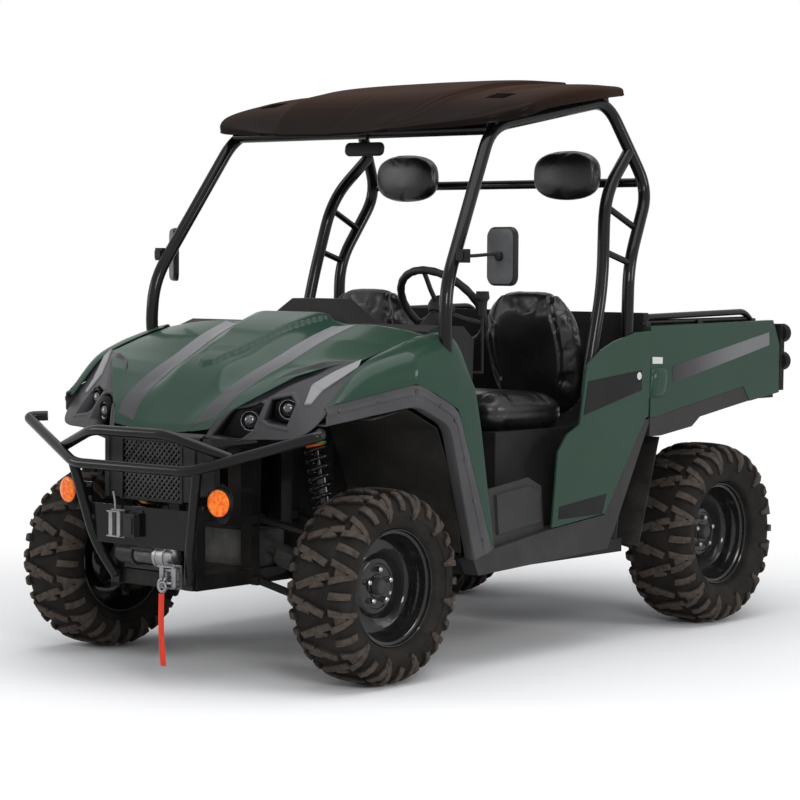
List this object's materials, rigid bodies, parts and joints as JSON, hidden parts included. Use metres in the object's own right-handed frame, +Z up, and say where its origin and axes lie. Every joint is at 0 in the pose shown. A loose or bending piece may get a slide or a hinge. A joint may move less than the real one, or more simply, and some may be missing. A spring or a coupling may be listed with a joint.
{
  "type": "side by side utility vehicle",
  "caption": "Open two seat off road utility vehicle with a tube cage, roof, winch bumper, tilting cargo bed, steered front wheels and knobbly tyres.",
  "frame": {"origin": "on the ground under the middle of the vehicle's bounding box", "axes": "+X to the vehicle's left, +Y to its rear, +Z up; the front faces -Y"},
  "size_m": [1.7136, 2.9255, 2.0588],
  "materials": {
    "body_green": "satin dark green",
    "black_plastic": "grained black",
    "grey_plastic": "grained dark grey",
    "silver_bezel": "satin grey",
    "black_steel": "gloss black powder coat",
    "black_seat": "black vinyl",
    "roof_brown": "satin brown black",
    "lamp_bowl": "bright bowl",
    "amber": "amber lens",
    "tail_red": "dark red lens",
    "winch_steel": "brushed",
    "strap_red": "woven strap",
    "cast_metal": "cast grey",
    "shock_paint": "gloss black",
    "tyre_rubber": "dusty rubber",
    "rim_black": "gloss black",
    "mirror_back": "black"
  },
  "bodies": {
    "chassis": {"chassis_frame": "black_steel", "floor_pan": "black_plastic", "seat_base": "black_plastic", "rocker_panels": "grey_plastic", "front_fenders": "body_green", "fender_flares": "grey_plastic", "wheel_liners": "black_plastic", "front_fascia": "silver_bezel", "headlamps": "lamp_bowl", "grille_mesh": "black_plastic", "indicators": "amber", "bull_bar": "black_steel", "winch": "black_steel", "fairlead": "winch_steel", "winch_strap": "strap_red", "suspension_arms": "black_steel", "shocks": "shock_paint", "rack_housing": "cast_metal", "column_and_lever": "black_plastic", "half_shafts": "cast_metal", "engine_block": "cast_metal", "dashboard": "black_plastic", "seat_cushions": "black_seat", "seat_backs": "black_seat", "headrests": "black_seat", "quarter_panels": "body_green", "roll_cage": "black_steel", "roof": "roof_brown", "mirrors": "mirror_back"},
    "hood": {"hood": "body_green"},
    "cargo_bed": {"bed_box": "black_steel", "bed_side_panels": "body_green", "bed_arch_trims": "black_plastic", "bed_rails": "black_steel", "tail_lamps": "tail_red"},
    "tailgate": {"tailgate": "body_green"},
    "steering_wheel": {"steering_wheel": "black_plastic"},
    "steering_rack": {"steering_rack": "cast_metal"},
    "knuckle_left": {"knuckle_left": "cast_metal"},
    "knuckle_right": {"knuckle_right": "cast_metal"},
    "wheel_front_left": {"tyre_front_left": "tyre_rubber", "rim_front_left": "rim_black"},
    "wheel_front_right": {"tyre_front_right": "tyre_rubber", "rim_front_right": "rim_black"},
    "wheel_rear_left": {"tyre_rear_left": "tyre_rubber", "rim_rear_left": "rim_black"},
    "wheel_rear_right": {"tyre_rear_right": "tyre_rubber", "rim_rear_right": "rim_black"}
  },
  "joints": [
    {"name": "hood_hinge", "type": "hinge", "parent": "chassis", "child": "hood", "pos_m": [0, -0.643, 1.14], "axis": [-1, 0, 0], "range_deg": [0, 50]},
    {"name": "bed_tilt", "type": "hinge", "parent": "chassis", "child": "cargo_bed", "pos_m": [0, 1.15, 0.72], "axis": [-1, 0, 0], "range_deg": [0, 45]},
    {"name": "tailgate_hinge", "type": "hinge", "parent": "cargo_bed", "child": "tailgate", "pos_m": [0, 1.402, 0.864], "axis": [-1, 0, 0], "range_deg": [0, 90]},
    {"name": "steering", "type": "hinge", "parent": "chassis", "child": "steering_wheel", "pos_m": [0.386, -0.3, 1.222], "axis": [0, 0.7659, 0.6429], "range_deg": [-360, 360]},
    {"name": "rack_slide", "type": "slide", "parent": "chassis", "child": "steering_rack", "axis": [1, 0, 0], "range_m": [-0.058, 0.058]},
    {"name": "steer_left", "type": "hinge", "parent": "chassis", "child": "knuckle_left", "pos_m": [0.54, -0.95, 0.322], "axis": [0, 0, 1], "range_deg": [-30, 30]},
    {"name": "steer_right", "type": "hinge", "parent": "chassis", "child": "knuckle_right", "pos_m": [-0.54, -0.95, 0.322], "axis": [0, 0, 1], "range_deg": [-30, 30]},
    {"name": "roll_front_left", "type": "hinge", "parent": "knuckle_left", "child": "wheel_front_left", "pos_m": [0.63, -0.95, 0.322], "axis": [1, 0, 0], "continuous": true},
    {"name": "roll_front_right", "type": "hinge", "parent": "knuckle_right", "child": "wheel_front_right", "pos_m": [-0.63, -0.95, 0.322], "axis": [1, 0, 0], "continuous": true},
    {"name": "roll_rear_left", "type": "hinge", "parent": "chassis", "child": "wheel_rear_left", "pos_m": [0.625, 0.99, 0.345], "axis": [1, 0, 0], "continuous": true},
    {"name": "roll_rear_right", "type": "hinge", "parent": "chassis", "child": "wheel_rear_right", "pos_m": [-0.625, 0.99, 0.345], "axis": [1, 0, 0], "continuous": true}
  ],
  "couplings": [
    {"joint": "steer_left", "follows": "steering", "ratio": 0.083333},
    {"joint": "steer_right", "follows": "steering", "ratio": 0.083333},
    {"joint": "rack_slide", "follows": "steering", "m_per_rad": -0.00923}
  ]
}
